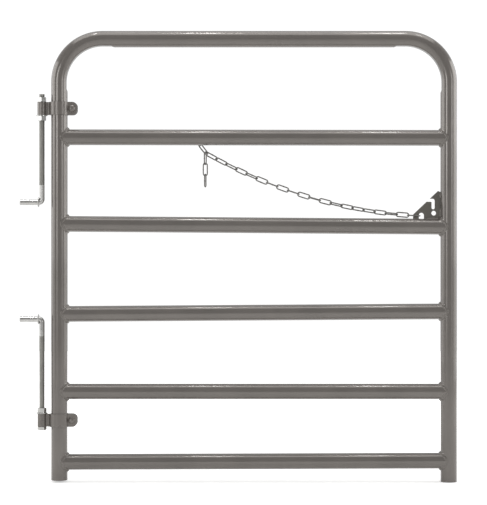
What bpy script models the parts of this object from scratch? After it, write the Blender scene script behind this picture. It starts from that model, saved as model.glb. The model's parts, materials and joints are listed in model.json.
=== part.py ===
# Feedlot gate: a bent tube leaf with five rails, a latch plate and a chain,
# hung from two threaded hinge bolts by clamped straps.
# Metres. +X runs along the leaf away from the hinges, +Y away from the front, +Z up.
# The origin lies on the face of the upper hinge bolt's collar that seats on the post.

import math

import bmesh
import bpy
import numpy as np
from mathutils import Matrix, Vector

# Clearance that stands for a touching or welded joint
SEAT_GAP = 0.0003

# Leaf tube
TUBE_OD = 0.0483
TUBE_WALL = 0.0021
TUBE_SIDES = 24
LEAF_WIDTH = 1.191
LEAF_HEIGHT = 1.318
RIGHT_LEG_EXTRA = 0.0048

# Corner bends, crushed on their inner side by the bender
BEND_RADIUS = 0.127
BEND_STEPS = 10
CRUSH_DEPTH = 0.0035
CRUSH_RUN = 0.023
CRUSH_CREASE = 0.006

# Rails, numbered from the top. The bays widen upwards: BAY_RATIOS are their heights from
# the lowest up, as multiples of the lowest. RAIL_RISES are how much higher the rails lie
# at the right upright than at the left.
RAIL_OD = 0.0465
RAIL_WALL = 0.0020
FOOT_TO_RAIL_5 = 0.053
BAY_RATIOS = (1.0, 1.097, 1.280, 1.227, 1.3905)
RAIL_RISES = (-0.002, -0.009, 0.008, 0.0, 0.004)

# Hinge bolts
ROD_DIAMETER = 0.0159
ROD_TO_UPRIGHT = 0.0270
ROD_BEND_RADIUS = 0.0092
ROD_BEND_STEPS = 6
PIN_LENGTH = 0.053
COLLAR_DIAMETER = 0.0286
COLLAR_THICKNESS = 0.0030
COLLAR_SEAT_TO_ROD = 0.0116
UPPER_STRAP_TO_PIN = 0.275
LOWER_STRAP_TO_PIN = 0.296
UPPER_ROD_STAND_OUT = 0.0088
LOWER_ROD_STAND_OUT = 0.0008

# Straps: flat bar closed round the upright and rolled into a barrel round the rod
STRAP_THICKNESS = 0.0048
STRAP_HEIGHT = 0.038
STRAP_EAR_REACH = 0.029
STRAP_EAR_GAP = 0.0170
STRAP_EAR_ROUND = 0.014
STRAP_EAR_FILLET = 0.0034
STRAP_NECK_FILLET = 0.0060
STRAP_BARREL_FILLET = 0.0050
BARREL_PLAY = 0.0006
UPPER_STRAP_ABOVE_RAIL_1 = 0.084
LOWER_STRAP_BELOW_RAIL_4 = 0.084

# Clamp bolt through the ears of each strap
CLAMP_BOLT_DIAMETER = 0.0095
CLAMP_BOLT_INSET = 0.0128
CLAMP_HEAD_DIAMETER = 0.0206
CLAMP_HEAD_HEIGHT = 0.0052
CLAMP_BOLT_STAND_OUT = 0.0060
CLAMP_NUT_FLATS = 0.0143
CLAMP_NUT_THICKNESS = 0.0083

# Nuts and washers on the hinge bolts
ROD_NUT_FLATS = 0.0238
ROD_NUT_THICKNESS = 0.0139
ROD_THIN_NUT_THICKNESS = 0.0095
ROD_WASHER_DIAMETER = 0.0330
ROD_WASHER_THICKNESS = 0.0024

# Latch plate: x to the left of the right upright, z above the top of rail_2
PLATE_THICKNESS = 0.0048
PLATE_TIP = (0.0073, 0.0819)
PLATE_HEEL_HEIGHT = 0.0787
PLATE_TOE = (0.0795, 0.0129)
PLATE_TOE_FOOT = 0.0807
SLOT_WIDTH = 0.0088
SLOT_TOP = 0.0587
SLOT_BACK = 0.0170
SLOT_DROP_WIDTH = 0.0094
SLOT_FOOT = 0.0279
SLOT_CORNER = 0.0060
SLOT_LIP = 0.0020
PLATE_HOLE = (0.0200, 0.0165)
PLATE_HOLE_DIAMETER = 0.0138
NOTCH_TOE_SIDE = 0.0636
NOTCH_WIDTH = 0.0150
NOTCH_HEIGHT = 0.0174

# Chain: RUN_SLACK is how much longer the run is than the straight line between its ends
WIRE = 0.0038
LINK_PITCH = 0.03284
LINK_INNER_WIDTH = 0.0088
CROWN_STEPS = 6
RUN_LINKS = 21
TAIL_LINKS = 3
RUN_SLACK = 0.0097
STAPLE_LEAN = 47.0
STAPLE_REACH = 0.0091
FIRST_LINK_SLOPE = 52.0
FIRST_LINK_FACE = -46.6
RUN_TWIST = 58.0
TAIL_FACE = 70.0
RUN_END_HEIGHT = 0.0084

# Where the next links' crowns pass through the first link's lower crown: distance along
# the first link, across it and through it, from the middle of that crown
TAIL_CROSSING = Vector((-0.0025, 0.0017, -0.0012))
RUN_CROSSING = Vector((0.0020, 0.0, 0.0010))

# Sizes worked out from those above
TUBE_RADIUS = TUBE_OD / 2
RAIL_RADIUS = RAIL_OD / 2
ROD_RADIUS = ROD_DIAMETER / 2
LEFT_X = ROD_TO_UPRIGHT + TUBE_RADIUS
RIGHT_X = LEFT_X + LEAF_WIDTH - TUBE_OD
TOP_Z = LEAF_HEIGHT - TUBE_RADIUS
LOWEST_BAY = (TOP_Z - FOOT_TO_RAIL_5) / sum(BAY_RATIOS)
RAIL_LEFT_HEIGHTS = tuple(FOOT_TO_RAIL_5 + LOWEST_BAY * sum(BAY_RATIOS[:bays]) for bays in (4, 3, 2, 1, 0))
UPPER_STRAP_HEIGHT = RAIL_LEFT_HEIGHTS[0] + UPPER_STRAP_ABOVE_RAIL_1
LOWER_STRAP_HEIGHT = RAIL_LEFT_HEIGHTS[3] - LOWER_STRAP_BELOW_RAIL_4
UPPER_PIN_HEIGHT = UPPER_STRAP_HEIGHT - UPPER_STRAP_TO_PIN
LOWER_PIN_HEIGHT = LOWER_STRAP_HEIGHT + LOWER_STRAP_TO_PIN
SEAT_POINT_UP = (ROD_RADIUS + COLLAR_DIAMETER / 2) / 2
HINGE_LINE = Vector((COLLAR_SEAT_TO_ROD, 0, -UPPER_PIN_HEIGHT - SEAT_POINT_UP))
LINK_HALF = (LINK_PITCH + WIRE + SEAT_GAP) / 2
CROWN_RADIUS = (LINK_INNER_WIDTH + WIRE) / 2
EAR_LINE = (STRAP_EAR_GAP + STRAP_THICKNESS) / 2
CLAMP_BOLT_X = LEFT_X + TUBE_RADIUS + CLAMP_BOLT_INSET

UP = Vector((0, 0, 1))
BACK = Vector((0, 1, 0))


def clear_scene():
    for old in list(bpy.data.objects):
        bpy.data.objects.remove(old, do_unlink=True)


def new_collection(name):
    made = bpy.data.collections.new(name)
    bpy.context.scene.collection.children.link(made)
    return made


def new_material(name, colour, roughness, metallic):
    made = bpy.data.materials.new(name)
    made.use_nodes = True
    shader = made.node_tree.nodes["Principled BSDF"]
    shader.inputs["Base Color"].default_value = (*colour, 1)
    shader.inputs["Roughness"].default_value = roughness
    shader.inputs["Metallic"].default_value = metallic
    return made


def new_empty(name, place):
    made = bpy.data.objects.new(name, None)
    made.location = place
    parts.objects.link(made)
    return made


def add_part(name, mesh, parent, finish, sharp_degrees=35):
    """A visible piece, smooth shaded, in the frame of the hinge line."""
    mesh.name = name
    mesh.shade_smooth()
    mesh.set_sharp_from_angle(angle=math.radians(sharp_degrees))
    made = bpy.data.objects.new(name, mesh)
    parts.objects.link(made)
    made.parent = parent
    colour, roughness, metallic = finish
    mesh.materials.clear()
    mesh.materials.append(new_material(name, colour, roughness, metallic))
    return made


def add_cutter(name, mesh, parent):
    made = bpy.data.objects.new(name, mesh)
    cutters.objects.link(made)
    made.parent = parent
    made.hide_render = True
    made.display_type = "WIRE"
    return made


def cut(target, cutter, operation="DIFFERENCE"):
    modifier = target.modifiers.new(cutter.name, "BOOLEAN")
    modifier.operation = operation
    modifier.solver = "EXACT"
    modifier.object = cutter


def mesh_from(bm, name):
    mesh = bpy.data.meshes.new(name)
    bm.to_mesh(mesh)
    bm.free()
    return mesh


def cylinder_mesh(name, radius, start, end, sides=48, caps=True):
    """A cylinder between two points."""
    start = Vector(start)
    end = Vector(end)
    axis = end - start
    turn = axis.to_track_quat("Z", "Y").to_matrix().to_4x4()
    place = Matrix.Translation((start + end) / 2) @ turn
    bm = bmesh.new()
    bmesh.ops.create_cone(
        bm,
        cap_ends=caps,
        segments=sides,
        radius1=radius,
        radius2=radius,
        depth=axis.length,
        matrix=place,
    )
    return mesh_from(bm, name)


def bar_mesh(name, points, radius, sides, closed=False, caps=True):
    """Round bar along a line of points, from a curve with a bevel."""
    curve = bpy.data.curves.new(name, "CURVE")
    curve.dimensions = "3D"
    curve.bevel_depth = radius
    curve.bevel_resolution = (sides - 4) // 2
    curve.use_fill_caps = caps
    spline = curve.splines.new("POLY")
    spline.points.add(len(points) - 1)
    for point, place in zip(spline.points, points):
        point.co = (*place, 1)
    spline.use_cyclic_u = closed
    holder = bpy.data.objects.new(name, curve)
    bpy.context.scene.collection.objects.link(holder)
    shown = holder.evaluated_get(bpy.context.evaluated_depsgraph_get())
    mesh = bpy.data.meshes.new_from_object(shown)
    bpy.data.objects.remove(holder, do_unlink=True)
    bpy.data.curves.remove(curve)
    bm = bmesh.new()
    bm.from_mesh(mesh)
    bmesh.ops.remove_doubles(bm, verts=bm.verts, dist=0.00001)
    bm.to_mesh(mesh)
    bm.free()
    return mesh


def arc(centre, radius, start, end, steps):
    """Points of an arc in a plane, angles in degrees."""
    angles = np.radians(np.linspace(start, end, steps + 1))
    return [
        (centre[0] + radius * math.cos(a), centre[1] + radius * math.sin(a))
        for a in angles
    ]


def plate_mesh(name, outlines, thickness):
    """Flat plate in the XZ plane from an outline and its holes."""
    curve = bpy.data.curves.new(name, "CURVE")
    curve.dimensions = "2D"
    curve.fill_mode = "BOTH"
    curve.extrude = thickness / 2
    for outline in outlines:
        spline = curve.splines.new("POLY")
        spline.points.add(len(outline) - 1)
        for point, place in zip(spline.points, outline):
            point.co = (place[0], place[1], 0, 1)
        spline.use_cyclic_u = True
    holder = bpy.data.objects.new(name, curve)
    bpy.context.scene.collection.objects.link(holder)
    shown = holder.evaluated_get(bpy.context.evaluated_depsgraph_get())
    mesh = bpy.data.meshes.new_from_object(shown)
    bpy.data.objects.remove(holder, do_unlink=True)
    bpy.data.curves.remove(curve)
    bm = bmesh.new()
    bm.from_mesh(mesh)
    bmesh.ops.remove_doubles(bm, verts=bm.verts, dist=0.00001)
    bmesh.ops.transform(bm, matrix=Matrix.Rotation(math.radians(90), 4, "X"), verts=bm.verts)
    bm.to_mesh(mesh)
    bm.free()
    return mesh


def turned_mesh(name, profile, segments):
    """Body of revolution about Z from an outline of (radius, height) points."""
    mesh = bpy.data.meshes.new(name)
    points = [(radius, 0, height) for radius, height in profile]
    edges = [(i, i + 1) for i in range(len(points) - 1)]
    mesh.from_pydata(points, edges, [])
    holder = bpy.data.objects.new(name, mesh)
    bpy.context.scene.collection.objects.link(holder)
    screw = holder.modifiers.new("turn", "SCREW")
    screw.steps = segments
    screw.render_steps = segments
    screw.use_merge_vertices = True
    screw.merge_threshold = 0.00001
    shown = holder.evaluated_get(bpy.context.evaluated_depsgraph_get())
    made = bpy.data.meshes.new_from_object(shown)
    bpy.data.objects.remove(holder, do_unlink=True)
    bpy.data.meshes.remove(mesh)
    return made


def rail_height(index, x):
    """Height of a rail's centre line at a place along the leaf."""
    return RAIL_LEFT_HEIGHTS[index] + RAIL_RISES[index] * (x - LEFT_X) / (RIGHT_X - LEFT_X)


# Leaf frame


def frame_path():
    """Centre line of the bent tube, from the left foot over the top to the right foot."""
    low = TOP_Z - BEND_RADIUS
    left_centre = (LEFT_X + BEND_RADIUS, low)
    right_centre = (RIGHT_X - BEND_RADIUS, low)
    crease = (CRUSH_RUN + CRUSH_CREASE, CRUSH_RUN)
    path = [(LEFT_X, 0)]
    path += [(LEFT_X, low - run) for run in crease]
    path += arc(left_centre, BEND_RADIUS, 180, 90, BEND_STEPS)
    path += [(left_centre[0] + run, TOP_Z) for run in reversed(crease)]
    path += [(right_centre[0] - run, TOP_Z) for run in crease]
    path += arc(right_centre, BEND_RADIUS, 90, 0, BEND_STEPS)
    path += [(RIGHT_X, low - run) for run in reversed(crease)]
    path += [(RIGHT_X, -RIGHT_LEG_EXTRA)]
    return [(x, 0, z) for x, z in path]


def press_bend(mesh, centre_x, side):
    """Flatten the inner side of a corner bend; side is -1 at the left bend, 1 at the right."""
    centre_z = TOP_Z - BEND_RADIUS
    flat = BEND_RADIUS - TUBE_RADIUS + CRUSH_DEPTH
    reach = CRUSH_RUN + CRUSH_CREASE / 2
    for vertex in mesh.vertices:
        out = (vertex.co.x - centre_x) * side
        rise = vertex.co.z - centre_z
        if out < -reach or rise < -reach:
            continue
        if rise <= 0 < out:
            vertex.co.x = centre_x + side * max(out, flat)
        elif out <= 0 < rise:
            vertex.co.z = centre_z + max(rise, flat)
        elif out > 0 and rise > 0:
            radius = math.hypot(out, rise)
            share = max(radius, flat) / radius
            vertex.co.x = centre_x + side * out * share
            vertex.co.z = centre_z + rise * share


def make_frame_tube():
    mesh = bar_mesh("frame_tube", frame_path(), TUBE_RADIUS, TUBE_SIDES, caps=False)
    press_bend(mesh, LEFT_X + BEND_RADIUS, -1)
    press_bend(mesh, RIGHT_X - BEND_RADIUS, 1)
    made = add_part("frame_tube", mesh, leaf, PAINT)
    add_wall(made, TUBE_WALL)


def add_wall(tube, thickness):
    """Give an open tube surface its wall, inwards."""
    wall = tube.modifiers.new("wall", "SOLIDIFY")
    wall.thickness = thickness
    wall.offset = -1
    wall.use_even_offset = True


def make_rails():
    """Cross tubes from upright to upright, their ends coped to fit round them."""
    copes = []
    for name, x in (("left_cope", LEFT_X), ("right_cope", RIGHT_X)):
        mesh = cylinder_mesh(name, TUBE_RADIUS + SEAT_GAP, (x, 0, -TUBE_OD), (x, 0, TOP_Z))
        copes.append(add_cutter(name, mesh, leaf))
    for index in range(len(RAIL_RISES)):
        name = f"rail_{index + 1}"
        left = (LEFT_X, 0, rail_height(index, LEFT_X))
        right = (RIGHT_X, 0, rail_height(index, RIGHT_X))
        mesh = cylinder_mesh(name, RAIL_RADIUS, left, right, TUBE_SIDES, False)
        rail = add_part(name, mesh, leaf, PAINT)
        add_wall(rail, RAIL_WALL)
        for cope in copes:
            cut(rail, cope)


# Hinge bolts


def make_hinge_bolt(name, pin_height, rod_end, side):
    """Rod bent into a pin with a collar; side is 1 for a rod that stands up, -1 for one that hangs."""
    bend_centre = (-ROD_BEND_RADIUS, pin_height + side * ROD_BEND_RADIUS)
    bend = arc(bend_centre, ROD_BEND_RADIUS, 0, -90 * side, ROD_BEND_STEPS)
    path = [(0, 0, rod_end)]
    path += [(x, 0, z) for x, z in bend]
    path += [(-COLLAR_SEAT_TO_ROD - PIN_LENGTH, 0, pin_height)]
    made = add_part(name, bar_mesh(name, path, ROD_RADIUS, 16), bolts, ZINC)
    collar_back = COLLAR_SEAT_TO_ROD - COLLAR_THICKNESS
    collar = cylinder_mesh(
        name + "_collar",
        COLLAR_DIAMETER / 2,
        (-collar_back, 0, pin_height),
        (-COLLAR_SEAT_TO_ROD, 0, pin_height),
        32,
    )
    cut(made, add_cutter(name + "_collar", collar, bolts), "UNION")


def make_ring(name, outer, sides, low, high):
    """Nut or washer on a hinge bolt's rod, its bore cut out."""
    made = add_part(name, cylinder_mesh(name, outer, (0, 0, low), (0, 0, high), sides), bolts, ZINC)
    past = ROD_RADIUS
    hole = cylinder_mesh(name + "_bore", ROD_RADIUS + SEAT_GAP, (0, 0, low - past), (0, 0, high + past), 24)
    cut(made, add_cutter(name + "_bore", hole, bolts))


def rod_nut(name, low, high):
    make_ring(name, ROD_NUT_FLATS / math.sqrt(3), 6, low, high)


def rod_washer(name, low, high):
    make_ring(name, ROD_WASHER_DIAMETER / 2, 28, low, high)


def make_hinge_bolts():
    """Both bolts and what holds the barrels: thick nuts and washers, and a thin nut below the lower."""
    upper_top = UPPER_STRAP_HEIGHT + STRAP_HEIGHT / 2 + SEAT_GAP
    upper_nut_end = upper_top + ROD_NUT_THICKNESS
    make_hinge_bolt("upper_hinge_bolt", UPPER_PIN_HEIGHT, upper_nut_end + UPPER_ROD_STAND_OUT, 1)
    rod_nut("upper_top_nut", upper_top, upper_nut_end)
    washer_top = UPPER_STRAP_HEIGHT - STRAP_HEIGHT / 2 - SEAT_GAP
    rod_washer("upper_washer", washer_top - ROD_WASHER_THICKNESS, washer_top)
    nut_top = washer_top - ROD_WASHER_THICKNESS - SEAT_GAP
    rod_nut("upper_bottom_nut", nut_top - ROD_NUT_THICKNESS, nut_top)
    washer_low = LOWER_STRAP_HEIGHT + STRAP_HEIGHT / 2 + SEAT_GAP
    rod_washer("lower_washer", washer_low, washer_low + ROD_WASHER_THICKNESS)
    nut_low = washer_low + ROD_WASHER_THICKNESS + SEAT_GAP
    rod_nut("lower_top_nut", nut_low, nut_low + ROD_NUT_THICKNESS)
    thin_top = LOWER_STRAP_HEIGHT - STRAP_HEIGHT / 2 - SEAT_GAP
    lower_nut_end = thin_top - ROD_THIN_NUT_THICKNESS
    make_hinge_bolt("lower_hinge_bolt", LOWER_PIN_HEIGHT, lower_nut_end - LOWER_ROD_STAND_OUT, -1)
    rod_nut("lower_bottom_nut", lower_nut_end, thin_top)


# Straps


def fillet_point(line_y, fillet, circle_x, circle_radius, side):
    """Centre of the fillet between a line along X and a circle on the X axis."""
    centre_y = line_y + fillet
    reach = math.sqrt((circle_radius + fillet) ** 2 - centre_y**2)
    return (circle_x + side * reach, centre_y)


def strap_half():
    """Centre line of half a strap, from the ear's tip to the far side of the barrel."""
    band = TUBE_RADIUS + SEAT_GAP + STRAP_THICKNESS / 2
    barrel = ROD_RADIUS + BARREL_PLAY + STRAP_THICKNESS / 2
    neck_line = (STRAP_THICKNESS + SEAT_GAP) / 2
    ear = fillet_point(EAR_LINE, STRAP_EAR_FILLET, LEFT_X, band, 1)
    neck = fillet_point(neck_line, STRAP_NECK_FILLET, LEFT_X, band, -1)
    roll = fillet_point(neck_line, STRAP_BARREL_FILLET, 0, barrel, 1)
    ear_turn = math.degrees(math.atan2(ear[1], ear[0] - LEFT_X))
    neck_turn = math.degrees(math.atan2(neck[1], neck[0] - LEFT_X))
    roll_turn = math.degrees(math.atan2(roll[1], roll[0]))
    tip = LEFT_X + TUBE_RADIUS + STRAP_EAR_REACH
    rounding = [STRAP_EAR_ROUND * (1 - math.cos(math.radians(a))) for a in (0, 20, 40, 60, 90)]
    path = [(tip - run, EAR_LINE) for run in rounding]
    path += arc(ear, STRAP_EAR_FILLET, 270, 180 + ear_turn, 3)
    path += arc((LEFT_X, 0), band, ear_turn, neck_turn, 12)[1:]
    path += arc(neck, STRAP_NECK_FILLET, neck_turn - 180, -90, 3)[1:]
    path += arc(roll, STRAP_BARREL_FILLET, 270, 180 + roll_turn, 3)
    path += arc((0, 0), barrel, roll_turn, 180, 9)[1:]
    return path


def make_strap(name, height):
    back = strap_half()
    path = back + [(x, -y) for x, y in reversed(back[:-1])]
    tip = path[0][0]
    bm = bmesh.new()
    columns = []
    for x, y in path:
        inset = max(STRAP_EAR_ROUND - (tip - x), 0)
        half = STRAP_HEIGHT / 2 - STRAP_EAR_ROUND + math.sqrt(STRAP_EAR_ROUND**2 - inset**2)
        columns.append([bm.verts.new((x, y, height - half)), bm.verts.new((x, y, height + half))])
    for one, two in zip(columns, columns[1:]):
        bm.faces.new((one[0], two[0], two[1], one[1]))
    made = add_part(name, mesh_from(bm, name), leaf, PAINT, 40)
    wall = made.modifiers.new("bar", "SOLIDIFY")
    wall.thickness = STRAP_THICKNESS
    wall.offset = 0
    wall.use_even_offset = True
    hole_reach = EAR_LINE + STRAP_THICKNESS
    hole = cylinder_mesh(
        name + "_hole",
        CLAMP_BOLT_DIAMETER / 2 + SEAT_GAP,
        (CLAMP_BOLT_X, -hole_reach, height),
        (CLAMP_BOLT_X, hole_reach, height),
        20,
    )
    cut(made, add_cutter(name + "_hole", hole, leaf))


def make_clamp(name, height):
    """Round-headed bolt through the strap's ears and its nut at the back."""
    face = EAR_LINE + STRAP_THICKNESS / 2 + SEAT_GAP
    nut_end = face + CLAMP_NUT_THICKNESS
    shank = CLAMP_BOLT_DIAMETER / 2
    head = CLAMP_HEAD_DIAMETER / 2
    dome = (head**2 + CLAMP_HEAD_HEIGHT**2) / (2 * CLAMP_HEAD_HEIGHT)
    edge = math.degrees(math.asin(head / dome))
    dome_centre = face + CLAMP_HEAD_HEIGHT - dome
    cap = [(y, x) for x, y in arc((dome_centre, 0), dome, 0, edge, 4)]
    end = -nut_end - CLAMP_BOLT_STAND_OUT
    profile = cap + [(shank, face), (shank, end), (0, end)]
    mesh = turned_mesh(name + "_clamp_bolt", profile, 24)
    turn = Matrix.Rotation(math.radians(90), 4, "X")
    place = Matrix.Translation((CLAMP_BOLT_X, 0, height)) @ turn
    mesh.transform(place)
    add_part(name + "_clamp_bolt", mesh, leaf, PAINT)
    nut = cylinder_mesh(
        name + "_clamp_nut",
        CLAMP_NUT_FLATS / math.sqrt(3),
        (CLAMP_BOLT_X, face, height),
        (CLAMP_BOLT_X, nut_end, height),
        6,
    )
    made = add_part(name + "_clamp_nut", nut, leaf, PAINT)
    hole = cylinder_mesh(
        name + "_clamp_nut_bore",
        shank + SEAT_GAP,
        (CLAMP_BOLT_X, face - shank, height),
        (CLAMP_BOLT_X, nut_end + shank, height),
        20,
    )
    cut(made, add_cutter(name + "_clamp_nut_bore", hole, leaf))


# Latch plate


def make_latch_plate():
    """Gusset in the corner above rail_2: a hooked chain slot, a hole and a notch for the last link."""
    edge = RIGHT_X - TUBE_RADIUS - SEAT_GAP
    inner = RIGHT_X - TUBE_RADIUS
    foot_right = rail_height(1, inner) + RAIL_RADIUS
    lean = RAIL_RISES[1] / (RIGHT_X - LEFT_X)

    def spot(left, up):
        return (inner - left, foot_right - lean * left + up)

    slope = (PLATE_TIP[1] - PLATE_TOE[1]) / (PLATE_TOE[0] - PLATE_TIP[0])

    def on_slope(up):
        return PLATE_TIP[0] + (PLATE_TIP[1] - up) / slope

    slot_low = SLOT_TOP - SLOT_WIDTH
    drop_left = SLOT_BACK + SLOT_DROP_WIDTH
    drop_radius = SLOT_DROP_WIDTH / 2
    outline = [(inner - edge, SEAT_GAP), (inner - edge, PLATE_HEEL_HEIGHT), PLATE_TIP]
    outline += [(on_slope(SLOT_TOP), SLOT_TOP)]
    corner = arc((SLOT_BACK + SLOT_CORNER, SLOT_TOP - SLOT_CORNER), SLOT_CORNER, 90, 180, 5)
    outline += corner
    foot = arc((SLOT_BACK + drop_radius, SLOT_FOOT + drop_radius), drop_radius, 180, 360, 8)
    outline += foot
    outline += arc((drop_left + SLOT_LIP, slot_low - SLOT_LIP), SLOT_LIP, 180, 90, 3)
    outline += [(on_slope(slot_low), slot_low), PLATE_TOE, (PLATE_TOE_FOOT, SEAT_GAP)]
    notch_radius = NOTCH_WIDTH / 2
    notch_centre = (NOTCH_TOE_SIDE - notch_radius, NOTCH_HEIGHT - notch_radius)
    outline += [(NOTCH_TOE_SIDE, SEAT_GAP)]
    outline += arc(notch_centre, notch_radius, 0, 180, 10)
    outline += [(NOTCH_TOE_SIDE - NOTCH_WIDTH, SEAT_GAP)]
    hole = arc(PLATE_HOLE, PLATE_HOLE_DIAMETER / 2, 0, 360, 20)[:-1]
    outlines = [[spot(*point) for point in line] for line in (outline, hole)]
    add_part("latch_plate", plate_mesh("latch_plate", outlines, PLATE_THICKNESS), leaf, DARK_PAINT)


# Chain


def solve_run(start, end):
    """Joints of a chain of equal links that hangs between two points under its own weight."""
    count = RUN_LINKS - 1
    span = math.hypot(end.x - start.x, end.y - start.y)
    drop = end.z - start.z

    def reach(pull, lift):
        slopes = [math.atan2(lift + i, pull) for i in range(count)]
        across = LINK_PITCH * sum(math.cos(a) for a in slopes)
        rise = LINK_PITCH * sum(math.sin(a) for a in slopes)
        return across, rise, slopes

    pull = 20.0
    lift = -count / 2
    step = 0.0001
    for _ in range(60):
        across, rise, _ = reach(pull, lift)
        across_p, rise_p, _ = reach(pull + step, lift)
        across_l, rise_l, _ = reach(pull, lift + step)
        rates = np.array(
            [
                [(across_p - across) / step, (across_l - across) / step],
                [(rise_p - rise) / step, (rise_l - rise) / step],
            ]
        )
        change = np.linalg.solve(rates, np.array([span - across, drop - rise]))
        limit = min(1.0, 4.0 / max(abs(change[0]), abs(change[1]), 1e-9))
        pull += change[0] * limit
        lift += change[1] * limit
    slopes = reach(pull, lift)[2]
    heading = Vector((end.x - start.x, end.y - start.y, 0)).normalized()
    joints = [start.copy()]
    for slope in slopes:
        step_vector = heading * math.cos(slope) + UP * math.sin(slope)
        joints.append(joints[-1] + step_vector * LINK_PITCH)
    return joints


def link_matrix(centre, along, face_degrees):
    """Place of a link: its length along the chain, turned about it; at 0 degrees it faces the front."""
    along = along.normalized()
    across = BACK.cross(along).normalized()
    turn = Matrix.Rotation(math.radians(face_degrees), 3, along)
    across = turn @ across
    normal = along.cross(across)
    rotation = Matrix((along, across, normal)).transposed()
    return Matrix.Translation(centre) @ rotation.to_4x4()


def link_mesh(name):
    """One welded link lying along X in the XY plane."""
    offset = LINK_HALF - CROWN_RADIUS
    right = arc((offset, 0), CROWN_RADIUS, -90, 90, CROWN_STEPS)
    left = arc((-offset, 0), CROWN_RADIUS, 90, 270, CROWN_STEPS)
    path = [(x, y, 0) for x, y in right + left]
    return bar_mesh(name, path, WIRE / 2, 8, closed=True)


def add_link(name, place):
    made = add_part(name, link_mesh(name), leaf, CHAIN_STEEL)
    made.matrix_local = place
    return made


def run_twist(number):
    """How far a link of the run is turned about the chain, in degrees; even links add a quarter turn."""
    if number <= 7:
        twist = -RUN_TWIST * (7 - number) / 6
    elif number <= 11:
        twist = 0.0
    else:
        twist = 90.0 * (number - 11) / 10
    return twist if number % 2 else twist + 90


def run_end():
    """Where the last link of the run holds the toe of the latch plate, in its notch."""
    inside = LINK_INNER_WIDTH / 2
    corner_reach = inside - math.sqrt(inside**2 - (PLATE_THICKNESS / 2) ** 2)
    x = RIGHT_X - TUBE_RADIUS - NOTCH_TOE_SIDE + corner_reach + 2 * SEAT_GAP
    return Vector((x, 0, rail_height(1, x) + RAIL_RADIUS + RUN_END_HEIGHT))


def make_chain():
    """Staple under rail_1, first link, run to the latch plate and hanging tail."""
    lean = math.radians(STAPLE_LEAN)
    outward = Vector((0, math.sin(lean), -math.cos(lean)))
    slope = math.radians(FIRST_LINK_SLOPE)
    first_along = Vector((math.cos(slope), 0, -math.sin(slope)))
    turned = link_matrix(Vector(), first_along, FIRST_LINK_FACE).to_3x3()
    staple_side = turned.col[1].cross(outward).normalized()
    pull = outward * first_along.dot(outward) + staple_side * first_along.dot(staple_side)
    staple_middle = outward * (RAIL_RADIUS + STAPLE_REACH - CROWN_RADIUS)
    first_end = staple_middle + pull.normalized() * (CROWN_RADIUS - WIRE - SEAT_GAP)
    crown = first_end + first_along * (2 * LINK_HALF - CROWN_RADIUS)
    crossing = crown + turned @ RUN_CROSSING

    # The staple goes where the run, with its slack, just reaches the latch plate
    end = run_end()
    chord = (RUN_LINKS - 1) * LINK_PITCH / (1 + RUN_SLACK)
    half_seat = (WIRE + SEAT_GAP) / 2
    along = first_along
    rail_spot = Vector((end.x - chord, 0, rail_height(0, end.x - chord)))
    for _ in range(8):
        start = rail_spot + crossing + along * half_seat
        drop = end.z - start.z
        rail_spot.x += end.x - start.x - math.sqrt(chord**2 - drop**2)
        rail_spot.z = rail_height(0, rail_spot.x)
        joints = solve_run(rail_spot + crossing + along * half_seat, end)
        along = (joints[1] - joints[0]).normalized()

    make_staple(rail_spot + outward * RAIL_RADIUS, outward, staple_side)
    first_centre = rail_spot + first_end + first_along * LINK_HALF
    add_link("chain_link_01", Matrix.Translation(first_centre) @ turned.to_4x4())
    for index, (one, two) in enumerate(zip(joints, joints[1:])):
        number = index + 2
        place = link_matrix((one + two) / 2, two - one, run_twist(number))
        add_link(f"chain_link_{number:02d}", place)

    top = rail_spot + crown + turned @ TAIL_CROSSING
    for number in range(TAIL_LINKS):
        centre = top - UP * (LINK_HALF + number * LINK_PITCH)
        face = TAIL_FACE + 90 * (number % 2)
        add_link(f"tail_link_{number + 1}", link_matrix(centre, -UP, face))


def make_staple(surface, outward, side):
    """Bent wire loop welded to the rail, that the first link hangs in."""
    foot = SEAT_GAP * 2
    middle = surface + outward * (STAPLE_REACH - CROWN_RADIUS)
    path = [surface + outward * foot + side * CROWN_RADIUS]
    path += [middle + outward * y + side * x for x, y in arc((0, 0), CROWN_RADIUS, 0, 180, CROWN_STEPS)]
    path += [surface + outward * foot - side * CROWN_RADIUS]
    add_part("chain_staple", bar_mesh("chain_staple", path, WIRE / 2, 8), leaf, CHAIN_STEEL)


PAINT = ((0.172, 0.155, 0.140), 0.34, 0.55)
DARK_PAINT = ((0.100, 0.095, 0.088), 0.42, 0.45)
ZINC = ((0.560, 0.560, 0.545), 0.36, 0.90)
CHAIN_STEEL = ((0.190, 0.185, 0.175), 0.42, 0.80)

clear_scene()
parts = new_collection("feedlot_gate")
cutters = new_collection("cutters")
leaf = new_empty("leaf_hinge_axis", HINGE_LINE)
bolts = new_empty("hinge_bolt_line", HINGE_LINE)

make_frame_tube()
make_rails()
make_hinge_bolts()
for strap_name, strap_height in (("upper", UPPER_STRAP_HEIGHT), ("lower", LOWER_STRAP_HEIGHT)):
    make_strap(strap_name + "_hinge_strap", strap_height)
    make_clamp(strap_name, strap_height)
make_latch_plate()
make_chain()
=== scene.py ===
import json
import math

import bmesh
import bpy
import numpy as np
from mathutils import Matrix, Vector

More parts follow.
